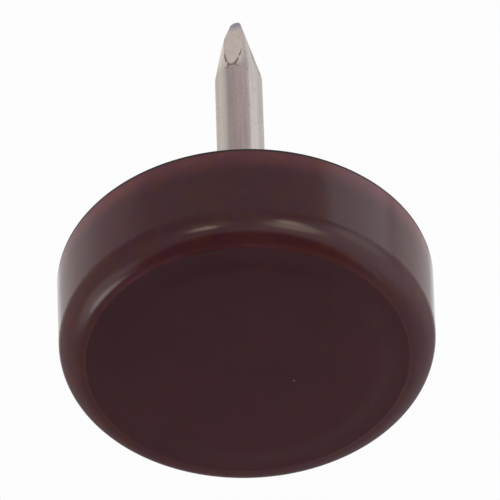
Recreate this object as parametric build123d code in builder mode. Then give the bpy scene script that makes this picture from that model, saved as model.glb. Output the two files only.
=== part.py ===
"""Nail-on furniture glide: a moulded plastic base with a steel wire nail moulded into it.

The glide stands on its sole. The origin is the centre of the sole, +Z runs up the nail,
and the open side of the base, with its rim, hub and ribs, seats against the foot of a leg.
"""

from build123d import *

import os
from math import atan2, degrees, radians, sqrt, tan

# Moulded base, in millimetres
base_diameter = 20.0  # across the rim, its widest place
base_height = 6.0  # sole to rim
rim_width = 1.8  # wall of the base where it meets the leg
web_thickness = 2.2  # sole web under the pockets
sole_flat_diameter = 13.9  # flat in the middle of the sole
sole_crown = 0.35  # rise of the sole from its flat out to the wall
sole_blend_radius = 5.0  # softens the border of the flat
edge_radius = 1.4  # between the sole and the outer wall
rim_bevel = 0.15  # breaks the outer edge of the rim
outer_draft = 0.75  # degrees, the outer wall narrows towards the sole

# Pockets that core out the nail side, so that the walls shrink evenly
pocket_draft = 1.5  # degrees, on the walls of the pockets
pocket_floor_radius = 0.5  # round the foot of each pocket
hub_wall = 1.0  # plastic round the head of the nail
rib_count = 4
rib_thickness = 1.1
rib_drop = 0.8  # ribs end this far under the rim
rib_bite = 0.3  # ribs run this far into the hub and the wall

# Wire nail
shank_diameter = 2.6
nail_projection = 20.0  # rim to tip
nail_head_diameter = 5.4
nail_head_thickness = 1.1
nail_cover = 2.0  # plastic between the head of the nail and the sole
nail_head_bevel = 0.25  # on both edges of the head
neck_bevel = 0.3  # where the head meets the shank
neck_draft = 2.0  # degrees, the shank swells towards the head where the plastic holds it
groove_level = 1.3  # under the face of the base, a groove that the plastic fills
groove_depth = 0.15
point_length = 4.6
corner_draw = 9.0  # degrees, the corners of the point draw in from the round shank
point_turn = -16.0  # degrees, the flats of the point about the nail
tip_width = 0.42  # blunt end of the point, across its flats
tip_radius = 0.18

# Places that follow from the sizes
rim_outer_radius = base_diameter / 2
shank_radius = shank_diameter / 2
nail_head_radius = nail_head_diameter / 2
nail_neck_height = nail_cover + nail_head_thickness
tip_height = base_height + nail_projection
shoulder_height = tip_height - point_length
point_half_angle = degrees(atan2(shank_radius - tip_width / 2, point_length))
pocket_depth = base_height - web_thickness
pocket_outer_radius = rim_outer_radius - rim_width
hub_radius = nail_head_radius + hub_wall


def drafted(radius, draft, depth):
    """Radius of a wall at some depth, where it leans inwards by its draft."""
    return radius - depth * tan(radians(draft))


def nearest_vertex(sketch, x, y):
    """Corner of a sketch that lies nearest to a place in its own plane."""
    return sketch.vertices().sort_by_distance((x, y, 0))[0]


# The nail: the point is pinched to four flats, the head and the shank are turned in one,
# and the groove round the held stretch lies inside the plastic
with BuildPart() as nail_point:
    with BuildSketch(Plane.XY.offset(shoulder_height)):
        Circle(shank_radius)
    extrude(amount=point_length, taper=corner_draw)
    with BuildSketch(Plane.XY.offset(shoulder_height)):
        Rectangle(shank_diameter, shank_diameter, rotation=point_turn)
    extrude(amount=point_length, taper=point_half_angle, mode=Mode.INTERSECT)
    tip_face = nail_point.faces().sort_by(Axis.Z)[-1]
    fillet(tip_face.edges(), tip_radius)

with BuildPart() as nail:
    neck_radius = drafted(shank_radius, -neck_draft, base_height - nail_neck_height)
    with BuildSketch(Plane.XZ) as nail_section:
        with BuildLine():
            Polyline(
                (0, nail_cover),
                (nail_head_radius, nail_cover),
                (nail_head_radius, nail_neck_height),
                (neck_radius, nail_neck_height),
                (shank_radius, base_height),
                (shank_radius, shoulder_height),
                (0, shoulder_height),
                close=True,
            )
        make_face()
        chamfer(nearest_vertex(nail_section, neck_radius, nail_neck_height), neck_bevel)
        chamfer(nearest_vertex(nail_section, nail_head_radius, nail_cover), nail_head_bevel)
        chamfer(nearest_vertex(nail_section, nail_head_radius, nail_neck_height), nail_head_bevel)
    revolve(axis=Axis.Z)
    groove_radius = drafted(shank_radius, -neck_draft, groove_level)
    with BuildSketch(Plane.XZ):
        with Locations((groove_radius, base_height - groove_level)):
            Rectangle(groove_depth * sqrt(2), groove_depth * sqrt(2), rotation=45)
    revolve(axis=Axis.Z, mode=Mode.SUBTRACT)
    add(nail_point.part)

# The base: its outer form is turned, its nail side is cored out and ribbed, and it is
# moulded round the nail, so the seat of the nail is cut by the nail itself
with BuildPart() as glide_base:
    sole_radius = drafted(rim_outer_radius, outer_draft, base_height - sole_crown)
    with BuildSketch(Plane.XZ) as base_section:
        with BuildLine():
            Polyline(
                (0, 0),
                (sole_flat_diameter / 2, 0),
                (sole_radius, sole_crown),
                (rim_outer_radius, base_height),
                (0, base_height),
                close=True,
            )
        make_face()
        fillet(nearest_vertex(base_section, sole_flat_diameter / 2, 0), sole_blend_radius)
        fillet(nearest_vertex(base_section, sole_radius, sole_crown), edge_radius)
        chamfer(nearest_vertex(base_section, rim_outer_radius, base_height), rim_bevel)
    revolve(axis=Axis.Z)

    pocket_floor_outer = drafted(pocket_outer_radius, pocket_draft, pocket_depth)
    hub_foot_radius = drafted(hub_radius, -pocket_draft, pocket_depth)
    with BuildSketch(Plane.XZ) as pocket_section:
        with BuildLine():
            Polyline(
                (hub_radius, base_height),
                (hub_foot_radius, web_thickness),
                (pocket_floor_outer, web_thickness),
                (pocket_outer_radius, base_height),
                close=True,
            )
        make_face()
        fillet(nearest_vertex(pocket_section, hub_foot_radius, web_thickness), pocket_floor_radius)
        fillet(nearest_vertex(pocket_section, pocket_floor_outer, web_thickness), pocket_floor_radius)
    revolve(axis=Axis.Z, mode=Mode.SUBTRACT)

    rib_inner = hub_radius - rib_bite
    rib_outer = pocket_outer_radius + rib_bite
    rib_foot_thickness = rib_thickness + 2 * pocket_depth * tan(radians(pocket_draft))
    with BuildSketch(Plane.XY.offset(web_thickness)):
        with PolarLocations((rib_inner + rib_outer) / 2, rib_count):
            Rectangle(rib_outer - rib_inner, rib_foot_thickness)
    extrude(amount=pocket_depth - rib_drop, taper=pocket_draft)

    add(nail.part, mode=Mode.SUBTRACT)

os.makedirs("parts", exist_ok=True)
glide_base.part.label = "glide_base"
export_step(glide_base.part, "parts/glide_base.step")
nail.part.label = "nail"
export_step(nail.part, "parts/nail.step")
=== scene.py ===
"""Nail-on furniture glide: a brown moulded plastic base on a bright steel wire nail.

The glide stands on its sole, with +Z up along the nail, and is seen from below, towards the sole.
All lengths are metres.
"""

from math import atan2, cos, pi, radians, sin, tan
from typing import NamedTuple

import bmesh
import bpy
from bpy.props import FloatProperty, FloatVectorProperty, IntProperty, PointerProperty
from bpy.types import Operator, Panel, PropertyGroup
from mathutils import Matrix, Vector


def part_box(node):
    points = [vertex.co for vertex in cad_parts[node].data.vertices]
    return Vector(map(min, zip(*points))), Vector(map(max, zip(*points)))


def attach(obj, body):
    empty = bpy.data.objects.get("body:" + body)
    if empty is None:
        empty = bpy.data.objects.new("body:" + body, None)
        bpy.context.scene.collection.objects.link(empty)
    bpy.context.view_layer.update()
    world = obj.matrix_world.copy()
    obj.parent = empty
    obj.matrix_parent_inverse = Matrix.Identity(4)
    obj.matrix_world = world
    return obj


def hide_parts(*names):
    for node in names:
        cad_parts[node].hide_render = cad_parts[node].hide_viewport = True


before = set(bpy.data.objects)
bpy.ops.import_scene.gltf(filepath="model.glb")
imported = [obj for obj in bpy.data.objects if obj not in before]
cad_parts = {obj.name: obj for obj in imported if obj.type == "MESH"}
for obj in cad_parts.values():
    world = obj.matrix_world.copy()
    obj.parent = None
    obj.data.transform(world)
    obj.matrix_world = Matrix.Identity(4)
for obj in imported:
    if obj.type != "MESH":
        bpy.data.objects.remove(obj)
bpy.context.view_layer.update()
_, BASE_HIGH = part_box("glide_base")
NAIL_LOW, NAIL_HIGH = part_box("nail")

bl_info = {
    "name": "Nail-on furniture glide",
    "version": (1, 0, 0),
    "blender": (4, 5, 0),
    "location": "View3D > Sidebar > Glide",
    "description": "Models a moulded furniture glide on its wire nail, with a studio to show it in",
    "category": "Add Mesh",
}

MM = 0.001
ROUND = 2 * pi

# How near two places are when they are doubles, the same, beside a fine bevel, or on a cut edge
DOUBLE = 0.002 * MM
NEAR = 0.004 * MM
NEARBY = 0.01 * MM
ROUGHLY = 0.02 * MM

# A face is level where its normal has at least this much along Z
LEVEL = 0.9

# Edges that turn by more than this stay sharp
NAIL_SHARP = radians(32)
BASE_SHARP = radians(35)

# How far the ribs run into the hub, the wall and the web
RIB_BITE = 0.3 * MM

# Names of the two pieces, and of the record's finishes that they take
BASE_PIECE = "glide_base_moulding"
NAIL_PIECE = "wire_nail"

# Heights of the fine relief that the materials draw
WAVE_HEIGHT = 0.018 * MM
GRAIN_HEIGHT = 0.0016 * MM
LINE_HEIGHT = 0.006 * MM
DENT_DEPTH = 0.01 * MM

# Colours that the materials mix in
PLAIN = (1, 1, 1)
YELLOWER = (1.12, 1.07, 0.72)
BLUER = (0.96, 0.96, 1.12)
DUST = (0.22, 0.17, 0.16)

# The dark arch under each flat of the point, painted shade below the step at its foot, in millimetres: its
# radius, and how low its middle lies
BITE_RADIUS = 0.38
BITE_DROP = 0.3


# Sizes and colours that a user would change

def length(name, description, default):
    return FloatProperty(
        name=name,
        description=description,
        default=default,
        min=0.0,
        precision=5,
        subtype="DISTANCE",
        unit="LENGTH",
    )


def angle(name, description, default):
    return FloatProperty(
        name=name,
        description=description,
        default=radians(default),
        subtype="ANGLE",
        unit="ROTATION",
    )


def share(name, description, default):
    return FloatProperty(
        name=name,
        description=description,
        default=default,
        min=0.0,
        max=1.0,
        subtype="FACTOR",
    )


def colour(name, description, default):
    return FloatVectorProperty(
        name=name,
        description=description,
        default=default,
        min=0.0,
        max=1.0,
        size=3,
        subtype="COLOR",
    )


class GlideBaseSettings(PropertyGroup):
    """Sizes and finish of the moulded base."""

    diameter: length("Diameter", "Width across the rim", round(2 * BASE_HIGH.x, 4))
    height: length("Height", "From the sole to the rim", round(BASE_HIGH.z, 4))
    wall_draft: angle("Wall draft", "Lean of the outer wall towards the sole", 0.75)
    flat_diameter: length("Sole flat", "Width of the flat in the middle of the sole", 13.9 * MM)
    crown: length("Crown", "Rise of the sole from its flat out to the wall", 0.35 * MM)
    flat_blend: length("Flat blend", "Radius that softens the border of the flat", 5.0 * MM)
    edge_radius: length("Edge radius", "Between the sole and the outer wall", 1.4 * MM)
    rim_round: length("Rim round", "Broken outer edge of the rim", 0.15 * MM)
    rim_width: length("Rim width", "Wall where it meets the leg", 1.8 * MM)
    web: length("Web", "Plastic between the pockets and the sole", 2.2 * MM)
    pocket_draft: angle("Pocket draft", "Lean of the walls inside the pockets", 1.5)
    pocket_fillet: length("Pocket fillet", "Round at the foot of the pocket walls", 0.5 * MM)
    hub_radius: length("Hub radius", "Boss that holds the nail", 3.7 * MM)
    rib_thickness: length("Rib thickness", "Ribs between the hub and the wall", 1.14 * MM)
    rib_drop: length("Rib drop", "How far the ribs end under the rim", 0.8 * MM)
    rib_round: length("Rib round", "Soft top of the ribs", 0.2 * MM)
    rib_count: IntProperty(name="Ribs", description="Ribs round the hub", default=4, min=0)
    mouth_round: length("Mouth round", "Soft lip of the plastic round the shank", 0.12 * MM)
    inner_round: length("Inner round", "Soft edge of the hub and inner edge of the rim", 0.12 * MM)
    lip_radius: length("Lip", "Radius of the fine lip that borders the sole", 8.5 * MM)
    lip_width: length("Lip width", "Width of each side of that lip", 0.05 * MM)
    lip_height: length("Lip height", "How far that lip stands out", 0.012 * MM)
    sides: IntProperty(name="Sides", description="Facets round the base", default=224, min=24)
    sole_tone: colour("Sole", "Plastic of the sole", (0.0285, 0.0077, 0.0102))
    # Painted light: the wall's tone is the sole's plastic drawn lighter, where the wall takes more light
    wall_tone_painted_lighter: colour("Wall", "Plastic of the wall, redder than the sole", (0.0375, 0.0100, 0.0127))
    # Painted light: a lighter band of the wall near the rim
    rim_painted_light_tone: colour("Rim", "Plastic near the rim, its thinnest place", (0.0880, 0.0260, 0.0320))
    # Painted shade: a dark line on the broken edge of the rim
    rim_edge_painted_shade: colour("Rim edge", "Plastic on the broken edge of the rim", (0.0150, 0.0040, 0.0060))
    roughness: share("Roughness", "Softness of the gloss", 0.14)


class WireNailSettings(PropertyGroup):
    """Sizes and finish of the wire nail."""

    shank_diameter: length("Shank", "Diameter of the wire", 2.6 * MM)
    tip_height: length("Tip height", "From the sole to the tip", round(NAIL_HIGH.z, 4))
    point_length: length("Point", "Length of the pinched point", 4.6 * MM)
    point_turn: angle("Point turn", "Turn of the flats of the point about the nail", -16.0)
    corner_draw: angle("Corner draw", "Draw of the corners of the point", 9.0)
    tip_width: length("Tip width", "Blunt end, across its flats", 0.42 * MM)
    tip_round: length("Tip round", "Softened edge of the blunt end", 0.2 * MM)
    tip_corner: length("Tip corner", "Softened corners of the blunt end", 0.17 * MM)
    flat_foot: length("Flat foot", "How far over the shoulder the flats begin", 0.1 * MM)
    foot_round: length("Foot round", "Round at the foot of each pinched flat", 0.1 * MM)
    neck_swell: length("Neck swell", "Growth of the shank towards the head", 0.1 * MM)
    groove_level: length("Groove level", "Height of the groove that the plastic fills", 4.7 * MM)
    groove_depth: length("Groove depth", "Depth of that groove", 0.15 * MM)
    head_diameter: length("Head", "Diameter of the moulded-in head", 5.4 * MM)
    head_thickness: length("Head thickness", "Thickness of the head", 1.1 * MM)
    head_round: length("Head round", "Soft edge of the head", 0.25 * MM)
    sides: IntProperty(name="Sides", description="Facets round the wire", default=128, min=16)
    steel: colour("Steel", "Steel of the drawn wire", (0.86, 0.70, 0.65))
    # The next three colours are painted reflections: bands along the wire, set by which side of it they lie
    # on
    steel_painted_bright_band: colour("Bright stripe", "Brighter stripe along the wire", (0.82, 0.75, 0.70))
    steel_painted_warm_band: colour("Warm stripe", "Yellower stripe along the wire", (1.0, 0.90, 0.76))
    steel_painted_grey_band: colour("Side stripe", "Greyer stripes along the wire", (0.66, 0.62, 0.56))
    steel_pinched: colour("Pinched flats", "Steel of the pinched flats", (0.76, 0.66, 0.56))
    # Painted shade: the blunt end of the point is drawn darker and bluer
    steel_tip_painted_shade: colour("Blunt end", "Duller steel of the blunt end", (0.36, 0.36, 0.40))
    # Dark colour of the scars and pits, also used for the painted shade of the arches under the flats
    steel_dark: colour("Scars", "Scars, pits and oil", (0.14, 0.10, 0.09))
    roughness: share("Roughness", "Softness of the shine", 0.26)


class StudioSettings(PropertyGroup):
    """Floor, light and camera."""

    backdrop: colour("Backdrop", "Colour behind the glide", (0.978, 0.978, 0.978))
    floor: colour("Floor", "Colour of the floor", (0.85, 0.85, 0.85))
    floor_radius: length("Floor radius", "Size of the floor", 0.6)
    floor_gap: length("Floor gap", "How far the floor lies under the sole", 0.08 * MM)
    distance: length("Distance", "From the camera to the middle of the sole", 0.33)
    elevation: angle("Elevation", "Height of the camera over the level of the sole", -44.71)
    roll: angle("Roll", "Tilt of the camera", -1.966)
    aside: FloatProperty(name="Aside", description="Camera to the right of the sole", default=0.107 * MM)
    above: FloatProperty(name="Above", description="Camera above the sole", default=5.974 * MM)
    focal_length: FloatProperty(
        name="Focal length",
        description="Lens on a sensor 36 mm wide, in millimetres",
        default=452.5,
        min=1.0,
    )
    room_level: share("Room level", "Dim surroundings that the gloss shows", 0.19)
    matt_level: FloatProperty(name="Matt level", description="Even light on matt surfaces", default=0.2)
    matt_sides: FloatProperty(name="Matt sides", description="More of it from both sides", default=3.2)
    matt_rise: FloatProperty(name="Matt rise", description="More of it from above, or less", default=-0.3)
    warm: colour("Warm", "Colour of the windows and the other warm patches of light", (1.0, 0.88, 0.63))
    cool: colour("Cool", "Colour of the rest of the room", (0.96, 0.935, 1.0))


# Selecting and shaping

def deselect_all():
    if bpy.context.mode != "OBJECT":
        bpy.ops.object.mode_set(mode="OBJECT")
    bpy.ops.object.select_all(action="DESELECT")


def make_active(piece):
    deselect_all()
    piece.select_set(True)
    bpy.context.view_layer.objects.active = piece


def begin(add, name, **settings):
    """Add a primitive at its size and place, put its place in its mesh, and go into edit mode."""
    deselect_all()
    add(**settings)
    piece = bpy.context.active_object
    piece.name = name
    piece.data.name = name
    bpy.ops.object.transform_apply(location=True, rotation=True, scale=True)
    bpy.ops.object.mode_set(mode="EDIT")
    return piece


def pick(element, wanted):
    """Select the vertices, edges or faces that a test wants, and nothing else."""
    bpy.ops.mesh.select_mode(type=element)
    bpy.ops.mesh.select_all(action="DESELECT")
    form = bmesh.from_edit_mesh(bpy.context.edit_object.data)
    items = {"VERT": form.verts, "EDGE": form.edges, "FACE": form.faces}[element]
    found = [item for item in items if wanted(item)]
    if not found:
        raise RuntimeError("nothing there to select on " + bpy.context.edit_object.name)
    for item in found:
        item.select_set(True)
    form.select_flush(True)
    bmesh.update_edit_mesh(bpy.context.edit_object.data)


def on_ring(radius, height, slack=NEAR):
    """Test for the edges of one ring about the nail."""
    def wanted(edge):
        return all(
            abs(corner.co.z - height) < slack and abs(corner.co.xy.length - radius) < slack
            for corner in edge.verts
        )
    return wanted


def cap(side, height):
    """Test for the flat face that closes a turned form, above or below."""
    def wanted(face):
        return face.normal.z * side > LEVEL and abs(face.calc_center_median().z - height) < NEAR
    return wanted


def step_out(rise, scale):
    """Extrude the picked cap by a rise, and widen it by a scale."""
    bpy.ops.mesh.extrude_region_move(TRANSFORM_OT_translate={"value": (0, 0, rise)})
    bpy.ops.transform.resize(value=(scale, scale, 1))


def round_edges(width, segments):
    bpy.ops.mesh.bevel(
        offset_type="OFFSET",
        offset=width,
        segments=segments,
        profile=0.5,
        affect="EDGES",
        clamp_overlap=False,
    )


def cut_or_join(piece, tool, operation):
    """Boolean the tool into the piece, apply it, and remove the tool."""
    make_active(piece)
    bpy.ops.object.modifier_add(type="BOOLEAN")
    change = piece.modifiers[-1]
    change.operation = operation
    change.solver = "EXACT"
    change.object = tool
    bpy.ops.object.modifier_apply(modifier=change.name)
    make_active(tool)
    bpy.ops.object.delete()
    make_active(piece)


def copy_of(piece, name):
    make_active(piece)
    bpy.ops.object.duplicate()
    twin = bpy.context.active_object
    twin.name = name
    return twin


def finish_surface(piece, sharp_angle):
    """Merge doubles, turn all faces outwards, and smooth what is round."""
    make_active(piece)
    bpy.ops.object.mode_set(mode="EDIT")
    bpy.ops.mesh.select_all(action="SELECT")
    bpy.ops.mesh.remove_doubles(threshold=DOUBLE)
    bpy.ops.mesh.dissolve_degenerate(threshold=NEAR)
    bpy.ops.mesh.normals_make_consistent(inside=False)
    bpy.ops.mesh.select_mode(type="EDGE")
    bpy.ops.mesh.select_all(action="DESELECT")
    bpy.ops.mesh.edges_select_sharp(sharpness=sharp_angle)
    bpy.ops.mesh.mark_sharp()
    bpy.ops.object.mode_set(mode="OBJECT")
    bpy.ops.object.shade_smooth_by_angle(angle=sharp_angle)
    bpy.ops.object.modifier_add(type="WEIGHTED_NORMAL")
    weighted = piece.modifiers[-1]
    weighted.keep_sharp = True
    weighted.weight = 50
    bpy.ops.object.modifier_apply(modifier=weighted.name)


def give(piece, material):
    piece.data.materials.clear()
    piece.data.materials.append(material)
    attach(piece, "root")


# Nodes as plain expressions

class Wire:
    """An output socket. Sums, products and comparisons of wires add their Math nodes."""

    def __init__(self, board, socket):
        self.board = board
        self.socket = socket

    def maths(self, operation, *values):
        inputs = dict(enumerate(values))
        return self.board.node("ShaderNodeMath", {"operation": operation}, inputs)

    def __add__(self, other):
        return self.maths("ADD", self, other)

    def __sub__(self, other):
        return self.maths("SUBTRACT", self, other)

    def __rsub__(self, other):
        return self.maths("SUBTRACT", other, self)

    def __mul__(self, other):
        return self.maths("MULTIPLY", self, other)

    def __truediv__(self, other):
        return self.maths("DIVIDE", self, other)

    def __rtruediv__(self, other):
        return self.maths("DIVIDE", other, self)

    def __pow__(self, other):
        return self.maths("POWER", self, other)

    def __gt__(self, other):
        return self.maths("GREATER_THAN", self, other)

    def __lt__(self, other):
        return self.maths("LESS_THAN", self, other)

    def __abs__(self):
        return self.maths("ABSOLUTE", self)

    __radd__ = __add__
    __rmul__ = __mul__


class Board:
    """The nodes of a material or of the world."""

    def __init__(self, owner):
        owner.use_nodes = True
        self.tree = owner.node_tree
        self.tree.nodes.clear()

    def node(self, kind, settings=None, inputs=None, output=0):
        """Add a node: its settings first, then the values or links of its sockets."""
        made = self.tree.nodes.new(kind)
        for name, value in (settings or {}).items():
            setattr(made, name, value)
        for name, value in (inputs or {}).items():
            socket = made.inputs[name]
            if isinstance(value, Wire):
                self.tree.links.new(value.socket, socket)
            elif socket.type == "RGBA" and len(value) == 3:
                socket.default_value = (*value, 1.0)
            else:
                socket.default_value = value
        return Wire(self, made.outputs[output]) if len(made.outputs) else made

    def place(self):
        """The place on the piece, in millimetres."""
        spot = self.node("ShaderNodeTexCoord", output="Object")
        return self.vector("SCALE", {0: spot, "Scale": 1 / MM})

    def vector(self, operation, inputs, output=0):
        return self.node("ShaderNodeVectorMath", {"operation": operation}, inputs, output)

    def parts(self, vector):
        """The three numbers of a vector."""
        split = self.node("ShaderNodeSeparateXYZ", None, {0: vector})
        outputs = split.socket.node.outputs
        return tuple(Wire(self, outputs[axis]) for axis in ("X", "Y", "Z"))

    def noise(self, spot, scale, detail=2.0, roughness=0.5, distortion=0.0):
        values = {
            "Vector": spot,
            "Scale": scale,
            "Detail": detail,
            "Roughness": roughness,
            "Distortion": distortion,
        }
        return self.node("ShaderNodeTexNoise", None, values, "Fac")

    def ramp(self, value, low, high):
        """0 where the value is under low, 1 where it is over high, and smooth between."""
        values = {"Value": value, "From Min": low, "From Max": high, "To Min": 0.0, "To Max": 1.0}
        return self.node("ShaderNodeMapRange", {"interpolation_type": "SMOOTHSTEP"}, values)

    def blend(self, factor, first, second):
        """Mix two colours."""
        return self.node("ShaderNodeMix", {"data_type": "RGBA"}, {0: factor, 6: first, 7: second}, 2)

    def bump(self, height, distance, normal=None):
        values = {"Height": height, "Distance": distance, "Strength": 1.0}
        if normal is not None:
            values["Normal"] = normal
        return self.node("ShaderNodeBump", None, values, "Normal")

    def surface(self, shader):
        kind = "ShaderNodeOutputMaterial" if isinstance(self, MaterialBoard) else "ShaderNodeOutputWorld"
        self.node(kind, None, {"Surface": shader})


class MaterialBoard(Board):
    """The nodes of a material, which starts out empty."""

    def __init__(self, name):
        self.material = bpy.data.materials.new(name)
        super().__init__(self.material)


def moulded_plastic(look):
    """Brown moulded plastic: soft gloss, faint flow marks, a fine mould grain, a few dust specks, and
    painted light, shade and a highlight on the wall, rim and lip.
    """
    board = MaterialBoard("brown_moulded_plastic")
    spot = board.place()
    x, y, z = board.parts(spot)

    # Zones, by place in millimetres: the wall, a band near the rim that is painted lighter, its flat top
    # and broken edge
    reach = (x * x + y * y) ** 0.5
    lip = look.lip_radius / MM
    rim_level = look.height / MM
    wall = board.ramp(reach, lip - 0.03, lip + 0.05)
    rim_band_painted_light = board.ramp(z, rim_level - 1.9, rim_level - 0.2)
    top = board.ramp(z, rim_level - 0.02, rim_level - 0.005)
    edge = board.ramp(z, rim_level - 0.27, rim_level - 0.18) * (1 - top)

    # Painted light and shade: the wall is drawn lighter than the sole, the band near the rim lighter still
    # and more so towards +X, and the rim's broken edge dark
    glow = 0.88 + x * 0.012
    body = board.blend(wall, look.sole_tone, look.wall_tone_painted_lighter)
    body = board.blend(rim_band_painted_light * (1 - top) * glow, body, look.rim_painted_light_tone)
    body = board.blend(edge, body, look.rim_edge_painted_shade)

    # Clouds, flow marks and grain vary the tone, painted light makes the sole lighter towards +X and +Y,
    # and blotches tint it, more on the wall than on the sole
    cloud = board.noise(spot, scale=0.25, detail=3.0, roughness=0.55, distortion=0.4)
    flow = board.noise(spot, scale=0.9, detail=4.0, roughness=0.6, distortion=1.6)
    grain = board.noise(spot, scale=7.0, detail=3.0, roughness=0.6)
    sole_painted_light_slope = (x + y * 2) * 0.008 * (1 - wall)
    tone = 0.60 + cloud * 0.40 + flow * 0.30 + grain * 0.10 + sole_painted_light_slope
    body = board.vector("SCALE", {0: body, "Scale": tone})
    blotches = board.ramp(board.noise(spot, scale=0.95, detail=3.0, roughness=0.7), 0.36, 0.64)
    tint = board.blend(0.35 + wall * 0.65, PLAIN, board.blend(blotches, YELLOWER, BLUER))
    body = board.vector("MULTIPLY", {0: body, 1: tint})

    # A painted highlight: a lighter line just outside the lip, on the side towards the camera
    lip_painted_highlight = board.ramp(reach, lip, lip + 0.05) * (1 - board.ramp(reach, lip + 0.12, lip + 0.25))
    near_side = board.ramp(0 - y, 3.0, 7.0)
    low = 1 - board.ramp(z, 1.0, 1.2)
    lip_painted_highlight = lip_painted_highlight * board.ramp(cloud, 0.30, 0.60) * near_side * low
    body = board.blend(lip_painted_highlight * 0.22, body, look.rim_painted_light_tone)

    # Dust specks, in a few of the cells of a pattern
    cells = {"Vector": spot, "Scale": 0.8}
    middle = board.node("ShaderNodeTexVoronoi", {"feature": "F1"}, cells)
    chance, _, _ = board.parts(board.node("ShaderNodeTexVoronoi", {"feature": "F1"}, cells, "Color"))
    specks = (1 - board.ramp(middle, 0.02, 0.07)) * (chance > 0.92)
    body = board.blend(specks * 0.3, body, DUST)

    rough = look.roughness + (flow - 0.5) * 0.10 + (grain - 0.5) * 0.08
    rough = rough + specks * 0.3 + edge * 0.4
    waviness = board.bump(board.noise(spot, scale=0.45, detail=2.0), WAVE_HEIGHT)
    fine = board.bump(grain, GRAIN_HEIGHT, waviness)

    shader = board.node("ShaderNodeBsdfPrincipled", None, {
        "Base Color": body,
        "Roughness": rough,
        "IOR": 1.5,
        "Normal": fine,
    })
    board.surface(shader)
    return board.material


def drawn_steel(look):
    """Bright drawn wire: painted reflection bands and drawn lines along its length, small pits, scars at
    the pinched flats, and painted shade under the flats and at the blunt end.
    """
    board = MaterialBoard("bright_drawn_steel")
    spot = board.place()
    x, y, z = board.parts(spot)
    along = board.vector("MULTIPLY", {0: spot, 1: (1.0, 1.0, 0.045)})
    broad = board.noise(along, scale=1.5, detail=3.0, roughness=0.6)
    fine = board.noise(along, scale=9.0, detail=4.0, roughness=0.65)
    patches = board.noise(spot, scale=1.3, detail=3.0, roughness=0.6)
    pits = board.noise(spot, scale=5.5, detail=2.0, roughness=0.5)

    # Painted reflections: bright, warm and grey bands along the wire, and a grey band on the right of the
    # point, by how far they lie to the right or left, in radii
    radius = look.shank_diameter / 2 / MM
    shoulder = (look.tip_height - look.point_length) / MM
    up = z - shoulder
    point = board.ramp(up, -0.3, 0.6)
    right = (x + (patches - 0.5) * 0.12) / radius
    left = 0 - right
    stripes = (
        (board.ramp(right, 0.38, 0.44), look.steel_painted_bright_band),
        (board.ramp(right, 0.45, 0.58), look.steel_painted_grey_band),
        (board.ramp(right, 0.05, 0.25) * point * 0.85, look.steel_painted_grey_band),
        (board.ramp(left, 0.45, 0.53), look.steel_painted_warm_band),
        (board.ramp(left, 0.72, 0.94), look.steel_painted_grey_band),
    )
    steel = look.steel
    for stripe, tone in stripes:
        steel = board.blend(stripe, steel, tone)

    # How far each place lies from the round point, from the flats and from the arches under them
    round_gap = (x * x + y * y) ** 0.5 - radius + up * tan(look.corner_draw)
    flat_gap, bite_gap = None, None
    for quarter in range(4):
        place, facing = point_plane(look, quarter)
        outward = Vector((facing.x, facing.y, 0)).normalized()
        bite = outward * radius + Vector((0, 0, shoulder - BITE_DROP))
        gap = board.vector("DOT_PRODUCT", {0: spot, 1: facing}, "Value") - place.dot(facing) / MM
        arch = abs(board.vector("DISTANCE", {0: spot, 1: bite}, "Value") - BITE_RADIUS)
        flat_gap = gap if flat_gap is None else flat_gap.maths("MAXIMUM", flat_gap, gap)
        bite_gap = arch if bite_gap is None else bite_gap.maths("MINIMUM", bite_gap, arch)
    foot = look.flat_foot / MM
    pinched = board.ramp(flat_gap, -0.02, -0.005) * board.ramp(up, foot, foot + 0.05)
    steel = board.blend(pinched, steel, look.steel_pinched)

    # Drawn lines, pits, scars at the borders of the flats, painted shade in arches under their feet, and
    # painted shade on the blunt end
    streaks = broad * 0.6 + fine * 0.4
    steel = board.vector("SCALE", {0: steel, "Scale": 0.90 + board.ramp(streaks, 0.35, 0.65) * 0.16})
    spots = board.ramp(pits, 0.67, 0.76)
    steel = board.blend(spots * 0.5, steel, look.steel_dark)
    borders = 1 - board.ramp(abs(round_gap + flat_gap), 0.006, 0.03)
    borders = borders * board.ramp(up, 0.0, 0.15) * (1 - board.ramp(up, 1.0, 1.9))
    # Painted shade: a dark arch under the foot of each flat
    arch_painted_shade = (1 - board.ramp(bite_gap, 0.02, 0.09)) * board.ramp(up, -0.2, -0.05) * (1 - borders)
    broken = board.ramp(board.noise(spot, scale=1.9, detail=2.0), 0.34, 0.50)
    scars_and_arch_shade = (borders + arch_painted_shade * 0.7) * broken
    steel = board.blend(scars_and_arch_shade * 0.62, steel, look.steel_dark)
    # Painted shade on the blunt end
    tip_level = look.tip_height / MM
    end = board.ramp(z, tip_level - 1.1, tip_level - 0.3)
    steel = board.blend(end * 0.9, steel, look.steel_tip_painted_shade)

    rough = look.roughness + (fine - 0.5) * 0.16 + (patches - 0.5) * 0.10 + spots * 0.25
    rough = rough + scars_and_arch_shade * 0.3 + pinched * 0.06
    lines = board.bump(fine + broad * 0.5, LINE_HEIGHT)
    dents = board.bump(0 - spots - scars_and_arch_shade, DENT_DEPTH, lines)

    shader = board.node("ShaderNodeBsdfPrincipled", None, {
        "Base Color": steel,
        "Metallic": 1.0,
        "Roughness": rough,
        "Normal": dents,
    })
    board.surface(shader)
    return board.material


# The wire nail

def point_slope(size):
    """Lean of the flats of the point."""
    return atan2((size.shank_diameter - size.tip_width) / 2, size.point_length)


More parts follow.
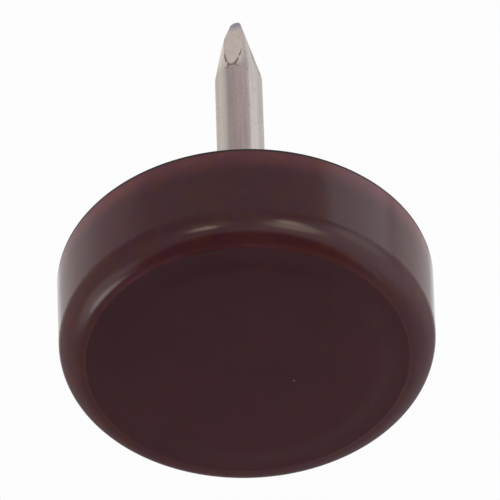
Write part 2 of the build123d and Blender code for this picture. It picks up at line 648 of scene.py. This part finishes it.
def point_plane(size, quarter):
    """A place on one flat of the point, and the way that the flat faces."""
    slope = point_slope(size)
    turn = size.point_turn + quarter * ROUND / 4
    outward = Vector((cos(turn), sin(turn), 0))
    facing = outward * cos(slope) + Vector((0, 0, sin(slope)))
    return outward * size.tip_width / 2 + Vector((0, 0, size.tip_height)), facing


def pinch_flat(nail, size, quarter):
    """Cut one flat of the point with a block whose foot is rounded, as the pinching die leaves it."""
    slope = point_slope(size)
    place, facing = point_plane(size, quarter)
    rise = (Vector((0, 0, 1)) - facing * sin(slope)).normalized()
    foot = place - rise * (size.point_length - size.flat_foot) / cos(slope)
    depth = 1.5 * MM
    width = 3.0 * MM
    tall = size.point_length + 1.0 * MM
    cutter = begin(
        bpy.ops.mesh.primitive_cube_add,
        "pinching_die",
        size=1.0,
        scale=(depth, width, tall),
        rotation=(0, -slope, size.point_turn + quarter * ROUND / 4),
        location=foot + facing * depth / 2 + rise * tall / 2,
    )
    pick("EDGE", lambda edge: ((edge.verts[0].co + edge.verts[1].co) / 2 - foot).length < NEAR)
    round_edges(size.foot_round, segments=6)
    bpy.ops.object.mode_set(mode="OBJECT")
    cut_or_join(nail, cutter, "DIFFERENCE")


def round_tip(size):
    """Dome the square end of the point."""
    slope = point_slope(size)
    dome = size.tip_round
    level = size.tip_height - dome * (1 - sin(slope))
    half = size.tip_width / 2 + (size.tip_height - level) * tan(slope)
    middle = half - dome * cos(slope)
    bpy.ops.mesh.select_all(action="SELECT")
    bpy.ops.mesh.bisect(plane_co=(0, 0, level), plane_no=(0, 0, 1), use_fill=True, clear_outer=True)
    pick("VERT", lambda corner: abs(corner.co.z - level) < NEAR)
    bpy.ops.mesh.bevel(offset=size.tip_corner, segments=4, affect="VERTICES")
    pick("FACE", cap(1, level))
    steps = 6
    for step in range(1, steps + 1):
        turn = slope + (pi / 2 - slope) * step / steps
        next_level = size.tip_height - dome * (1 - sin(turn))
        next_half = middle + dome * cos(turn)
        step_out(next_level - level, next_half / half)
        level, half = next_level, next_half


def make_nail(size):
    shank_radius = size.shank_diameter / 2
    head_radius = size.head_diameter / 2
    shoulder = size.tip_height - size.point_length
    rim = BASE_HIGH.z
    neck = NAIL_LOW.z + size.head_thickness
    neck_radius = shank_radius + size.neck_swell

    nail = begin(
        bpy.ops.mesh.primitive_cylinder_add,
        NAIL_PIECE,
        vertices=size.sides,
        radius=shank_radius,
        depth=shoulder - rim,
        end_fill_type="NGON",
        location=(0, 0, (shoulder + rim) / 2),
    )

    # Down from the rim: the swelling neck with its groove, then the head
    pick("FACE", cap(-1, rim))
    level, radius = rim, shank_radius
    groove = size.groove_depth
    for next_level, sunk in (
        (size.groove_level + groove, 0.0),
        (size.groove_level, groove),
        (size.groove_level - groove, 0.0),
        (neck, 0.0),
    ):
        wide = shank_radius + size.neck_swell * (rim - next_level) / (rim - neck) - sunk
        step_out(next_level - level, wide / radius)
        level, radius = next_level, wide
    step_out(0, head_radius / neck_radius)
    step_out(-size.head_thickness, 1)

    # Up from the shoulder: a round point, cut to four flats
    pick("FACE", cap(1, shoulder))
    corner_radius = shank_radius - size.point_length * tan(size.corner_draw)
    step_out(size.point_length, corner_radius / shank_radius)
    bpy.ops.object.mode_set(mode="OBJECT")
    for quarter in range(4):
        pinch_flat(nail, size, quarter)
    bpy.ops.object.mode_set(mode="EDIT")
    round_tip(size)
    pick("EDGE", on_ring(head_radius, neck))
    round_edges(size.head_round, segments=4)
    pick("EDGE", on_ring(head_radius, NAIL_LOW.z))
    round_edges(size.head_round, segments=4)
    bpy.ops.object.mode_set(mode="OBJECT")
    finish_surface(nail, NAIL_SHARP)
    give(nail, drawn_steel(size))
    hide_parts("nail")


# The moulded base

def make_block(size):
    """The turned form: flat sole, rising ring, round edge, leaning wall and rim."""
    rim_radius = size.diameter / 2
    wall_foot = rim_radius - (size.height - size.crown) * tan(size.wall_draft)
    flat_radius = size.flat_diameter / 2
    ring_slope = atan2(size.crown, wall_foot - flat_radius)
    edge_turn = pi / 2 - size.wall_draft - ring_slope

    block = begin(
        bpy.ops.mesh.primitive_cone_add,
        BASE_PIECE,
        vertices=size.sides,
        radius1=wall_foot,
        radius2=rim_radius,
        depth=size.height - size.crown,
        end_fill_type="NGON",
        location=(0, 0, (size.height + size.crown) / 2),
    )
    pick("FACE", cap(-1, size.crown))
    bpy.ops.mesh.inset(thickness=wall_foot - size.lip_radius)
    lip_level = size.crown - (wall_foot - size.lip_radius) * tan(ring_slope)
    bpy.ops.transform.translate(value=(0, 0, lip_level - size.crown))
    bpy.ops.mesh.inset(thickness=size.lip_radius - flat_radius)
    bpy.ops.transform.translate(value=(0, 0, -lip_level))

    pick("EDGE", on_ring(flat_radius, 0, ROUGHLY))
    round_edges(size.flat_blend * tan(ring_slope / 2), segments=8)
    pick("EDGE", on_ring(wall_foot, size.crown))
    round_edges(size.edge_radius * tan(edge_turn / 2), segments=20)
    pick("EDGE", on_ring(rim_radius, size.height))
    round_edges(size.rim_round, segments=4)

    # A fine lip borders the sole
    pick("EDGE", on_ring(size.lip_radius, lip_level))
    round_edges(size.lip_width, segments=2)
    pick("EDGE", on_ring(size.lip_radius, lip_level, NEARBY))
    bpy.ops.transform.translate(value=(0, 0, -size.lip_height))
    bpy.ops.object.mode_set(mode="OBJECT")
    return block


def make_pocket_ring(size):
    """What cores out the nail side: a drafted ring with rounded feet."""
    top = size.height + 1.0 * MM
    lean = tan(size.pocket_draft)
    outer = size.diameter / 2 - size.rim_width
    outer_foot = outer - (size.height - size.web) * lean
    outer_top = outer + (top - size.height) * lean
    hub_foot = size.hub_radius + (size.height - size.web) * lean
    hub_top = size.hub_radius - (top - size.height) * lean

    ring = begin(
        bpy.ops.mesh.primitive_cone_add,
        "pocket_ring",
        vertices=size.sides,
        radius1=outer_foot,
        radius2=outer_top,
        depth=top - size.web,
        end_fill_type="NGON",
        location=(0, 0, (top + size.web) / 2),
    )
    pick("FACE", cap(-1, size.web))
    bpy.ops.mesh.inset(thickness=outer_foot - hub_foot)
    pick("FACE", cap(1, top))
    bpy.ops.mesh.inset(thickness=outer_top - hub_top)
    pick("FACE", lambda face: len(face.verts) == size.sides and abs(face.normal.z) > LEVEL)
    bpy.ops.mesh.bridge_edge_loops()
    pick("EDGE", on_ring(outer_foot, size.web, ROUGHLY))
    round_edges(size.pocket_fillet, segments=6)
    pick("EDGE", on_ring(hub_foot, size.web, ROUGHLY))
    round_edges(size.pocket_fillet, segments=6)
    bpy.ops.object.mode_set(mode="OBJECT")
    return ring


def make_ribs(size):
    """One rib with a soft top and leaning sides, copied round the hub."""
    inner = size.hub_radius - RIB_BITE
    outer = size.diameter / 2 - size.rim_width + RIB_BITE
    foot = size.web - RIB_BITE
    top = size.height - size.rib_drop
    lean = tan(size.pocket_draft)

    rib = begin(
        bpy.ops.mesh.primitive_cube_add,
        "rib_1",
        size=1.0,
        scale=(outer - inner, size.rib_thickness, top - foot),
        location=((outer + inner) / 2, 0, (top + foot) / 2),
    )
    pick("FACE", lambda face: face.normal.z < -LEVEL)
    foot_thickness = size.rib_thickness + 2 * (top - foot) * lean
    bpy.ops.transform.resize(value=(1, foot_thickness / size.rib_thickness, 1))

    def along_top(edge):
        near, far = (end.co for end in edge.verts)
        return min(near.z, far.z) > top - NEAR and abs(near.y - far.y) < NEAR

    pick("EDGE", along_top)
    round_edges(size.rib_round, segments=4)
    bpy.ops.object.mode_set(mode="OBJECT")

    ribs = [rib]
    for place in range(1, size.rib_count):
        twin = copy_of(rib, "rib_" + str(place + 1))
        twin.rotation_euler.z = place * ROUND / size.rib_count
        bpy.ops.object.transform_apply(location=True, rotation=True, scale=True)
        ribs.append(twin)
    return ribs


def make_base(size):
    nail = bpy.data.objects.get(NAIL_PIECE)
    if nail is None:
        raise RuntimeError("make the nail first, because the base is moulded round it")
    base = make_block(size)
    cut_or_join(base, make_pocket_ring(size), "DIFFERENCE")
    for rib in make_ribs(size):
        cut_or_join(base, rib, "UNION")
    cut_or_join(base, copy_of(nail, "nail_seat"), "DIFFERENCE")

    # Soft edges of the mouth round the shank, the hub and the rim
    mouth = bpy.context.scene.wire_nail.shank_diameter / 2
    rim = size.diameter / 2 - size.rim_width
    make_active(base)
    bpy.ops.object.mode_set(mode="EDIT")
    for radius, width in (
        (mouth, size.mouth_round),
        (size.hub_radius, size.inner_round),
        (rim, size.inner_round),
    ):
        pick("EDGE", on_ring(radius, size.height, ROUGHLY))
        round_edges(width, segments=3)
    bpy.ops.object.mode_set(mode="OBJECT")
    finish_surface(base, BASE_SHARP)
    give(base, moulded_plastic(size))
    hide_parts("glide_base")


# Studio

def camera_axes(studio):
    """Right, up and back of the camera."""
    back = Vector((0, -cos(studio.elevation), sin(studio.elevation)))
    right = Vector((1, 0, 0))
    up = back.cross(right)
    turned_right = right * cos(studio.roll) + up * sin(studio.roll)
    turned_up = up * cos(studio.roll) - right * sin(studio.roll)
    return turned_right, turned_up, back


def make_camera(studio):
    right, up, back = camera_axes(studio)
    bpy.ops.object.camera_add()
    camera = bpy.context.active_object
    camera.name = "photo_camera"
    camera.data.sensor_width = 36.0
    camera.data.lens = studio.focal_length
    camera.data.clip_start = 0.01
    camera.data.clip_end = 5.0
    stand = right * studio.aside + up * studio.above + back * studio.distance
    camera.matrix_world = Matrix.Translation(stand) @ Matrix((right, up, back)).transposed().to_4x4()
    bpy.context.scene.camera = camera


def make_floor(studio):
    """A pale floor that only the camera sees, and only from above. All other rays pass through it."""
    floor = begin(
        bpy.ops.mesh.primitive_circle_add,
        "pale_floor",
        vertices=96,
        radius=studio.floor_radius,
        fill_type="NGON",
        location=(0, 0, -studio.floor_gap),
    )
    pick("FACE", lambda face: True)
    bpy.ops.mesh.inset(thickness=studio.floor_radius / 2)
    bpy.ops.object.mode_set(mode="OBJECT")

    board = MaterialBoard("pale_floor_paint")
    x, y, _ = board.parts(board.place())
    reach = (x * x + y * y) ** 0.5
    edge = studio.floor_radius / MM
    fade = board.ramp(reach, 0.25 * edge, 0.9 * edge)
    seen = board.node("ShaderNodeLightPath", output="Is Camera Ray")
    under = board.node("ShaderNodeNewGeometry", output="Backfacing")
    paint = board.node("ShaderNodeBsdfDiffuse", None, {"Color": studio.floor})
    sweep = board.node("ShaderNodeEmission", None, {"Color": studio.backdrop, "Strength": 1.0})
    clear = board.node("ShaderNodeBsdfTransparent")
    top = board.node("ShaderNodeMixShader", None, {0: fade, 1: paint, 2: sweep})
    board.surface(board.node("ShaderNodeMixShader", None, {0: seen * (1 - under), 1: clear, 2: top}))
    floor.data.materials.append(board.material)


class SoftBox(NamedTuple):
    """A round patch of light, with its angles in degrees.

    off is how far it lies from the camera, and clock on which side, clockwise from straight up.
    It is full up to one angle from its own middle, and has faded out at the other.
    """

    off: float
    clock: float
    full: float
    faded: float
    strength: float


# What the gloss sees of the room
WARM_BOXES = {
    "right_window": SoftBox(39, 38, 3, 9, 1.9),
    "right_window_low": SoftBox(30, 60, 4, 18, 1.5),
    "left_window": SoftBox(22, 298, 3, 9, 2.6),
    "left_window_low": SoftBox(27, 315, 4, 18, 0.25),
    "left_wall_warm": SoftBox(102, 240, 15, 55, 0.13),
    "right_far": SoftBox(145, 70, 8, 22, 0.15),
    "left_far": SoftBox(148, 287, 5, 22, 0.16),
}
COOL_BOXES = {
    "front": SoftBox(20, 0, 15, 55, 0.14),
    "right_front": SoftBox(45, 90, 15, 55, 0.38),
    "left_front": SoftBox(45, 225, 15, 55, 0.11),
    "low_left_lamp": SoftBox(72, 227, 4, 24, 0.60),
    "low_left_streak": SoftBox(74, 208, 3, 10, 2.6),
    "low_left_end": SoftBox(76, 220, 3, 10, 0.35),
    "low_right": SoftBox(58, 150, 6, 18, 0.4),
    "right_wall": SoftBox(86, 82, 15, 55, 0.27),
    "right_ridge": SoftBox(78, 64, 4, 24, 0.44),
    "right_low": SoftBox(105, 128, 15, 55, 0.24),
    "left_wall": SoftBox(102, 240, 15, 55, 0.05),
    "right_panel": SoftBox(104, 66, 30, 37, 0.08),
    "right_strip": SoftBox(112, 46, 13, 19, 0.36),
    "left_panel": SoftBox(118, 300, 12, 24, 0.11),
    "overhead": SoftBox(92, 0, 15, 50, 0.13),
    "high_back": SoftBox(146, 0, 15, 60, 0.50),
}

# Round patches of directions, in degrees from their middle: the dark under the glide, and the backdrop
DARK_BELOW = (22, 38)
BACKDROP = (9, 20)


def box_light(board, toward, boxes, axes):
    """Sum of the soft boxes in each direction."""
    right, up, back = axes
    level = None
    for box in boxes.values():
        off, clock = radians(box.off), radians(box.clock)
        aim = back * cos(off) + (right * sin(clock) + up * cos(clock)) * sin(off)
        glow = round_patch(board, toward, aim, (box.full, box.faded)) * box.strength
        level = glow if level is None else level + glow
    return level


def round_patch(board, toward, aim, widths):
    """1 up to the first of two angles from an aim, 0 beyond the second."""
    facing = board.vector("DOT_PRODUCT", {0: toward, 1: aim}, "Value")
    full, faded = widths
    return board.ramp(facing, cos(radians(faded)), cos(radians(full)))


def make_world(studio):
    """A dim soft room with soft boxes, and behind the glide the white backdrop."""
    axes = camera_axes(studio)
    world = bpy.data.worlds.new("soft_room")
    bpy.context.scene.world = world
    world.cycles.sampling_method = "NONE"
    board = Board(world)
    toward = board.node("ShaderNodeTexCoord", output="Generated")
    across, _, rise = board.parts(toward)
    below = round_patch(board, toward, Vector((0, 0, -1)), DARK_BELOW)
    warm = box_light(board, toward, WARM_BOXES, axes)
    cool = (box_light(board, toward, COOL_BOXES, axes) + studio.room_level) * (1 - below)
    matt = across * across * studio.matt_sides + rise * studio.matt_rise + studio.matt_level

    def light(colour, strength):
        return board.node("ShaderNodeBackground", None, {"Color": colour, "Strength": strength})

    rays = board.node("ShaderNodeLightPath", output="Is Camera Ray").socket.node.outputs
    kinds = ("Camera", "Diffuse", "Glossy", "Transmission")
    camera, diffuse, glossy, through = (Wire(board, rays["Is " + kind + " Ray"]) for kind in kinds)
    lamps = {0: light(studio.warm, warm), 1: light(studio.cool, cool)}
    room = board.node("ShaderNodeAddShader", None, lamps)
    room = board.node("ShaderNodeMixShader", None, {0: diffuse, 1: room, 2: light(PLAIN, matt)})
    behind = round_patch(board, toward, -axes[2], BACKDROP)
    seen = camera + (glossy + through) * behind
    backdrop = light(studio.backdrop, 1.0)
    board.surface(board.node("ShaderNodeMixShader", None, {0: seen, 1: room, 2: backdrop}))


class GLIDE_OT_wire_nail(Operator):
    """Model the steel wire nail, with its pinched point and its head"""

    bl_idname = "glide.wire_nail"
    bl_label = "Wire nail"

    def execute(self, context):
        make_nail(context.scene.wire_nail)
        return {"FINISHED"}


class GLIDE_OT_moulded_base(Operator):
    """Model the moulded base round the nail"""

    bl_idname = "glide.moulded_base"
    bl_label = "Moulded base"

    def execute(self, context):
        make_base(context.scene.glide_base)
        return {"FINISHED"}


class GLIDE_OT_studio(Operator):
    """Set up the floor, the soft light and the camera"""

    bl_idname = "glide.studio"
    bl_label = "Studio"

    def execute(self, context):
        studio = context.scene.studio
        make_floor(studio)
        make_world(studio)
        make_camera(studio)
        context.scene.view_settings.view_transform = "Standard"
        return {"FINISHED"}


class GLIDE_PT_panel(Panel):
    """The glide's pieces and settings"""

    bl_idname = "GLIDE_PT_panel"
    bl_label = "Furniture glide"
    bl_space_type = "VIEW_3D"
    bl_region_type = "UI"
    bl_category = "Glide"

    def draw(self, context):
        scene = context.scene
        for operator, settings in (
            (GLIDE_OT_wire_nail, scene.wire_nail),
            (GLIDE_OT_moulded_base, scene.glide_base),
            (GLIDE_OT_studio, scene.studio),
        ):
            box = self.layout.box()
            for name in settings.__annotations__:
                box.prop(settings, name)
            box.operator(operator.bl_idname)


CLASSES = (
    GlideBaseSettings,
    WireNailSettings,
    StudioSettings,
    GLIDE_OT_wire_nail,
    GLIDE_OT_moulded_base,
    GLIDE_OT_studio,
    GLIDE_PT_panel,
)


def register():
    for made in CLASSES:
        bpy.utils.register_class(made)
    bpy.types.Scene.glide_base = PointerProperty(type=GlideBaseSettings)
    bpy.types.Scene.wire_nail = PointerProperty(type=WireNailSettings)
    bpy.types.Scene.studio = PointerProperty(type=StudioSettings)


def unregister():
    del bpy.types.Scene.studio
    del bpy.types.Scene.wire_nail
    del bpy.types.Scene.glide_base
    for made in reversed(CLASSES):
        bpy.utils.unregister_class(made)


def main():
    register()
    bpy.ops.glide.wire_nail()
    bpy.ops.glide.moulded_base()
    bpy.ops.glide.studio()
    deselect_all()


if __name__ == "__main__":
    main()
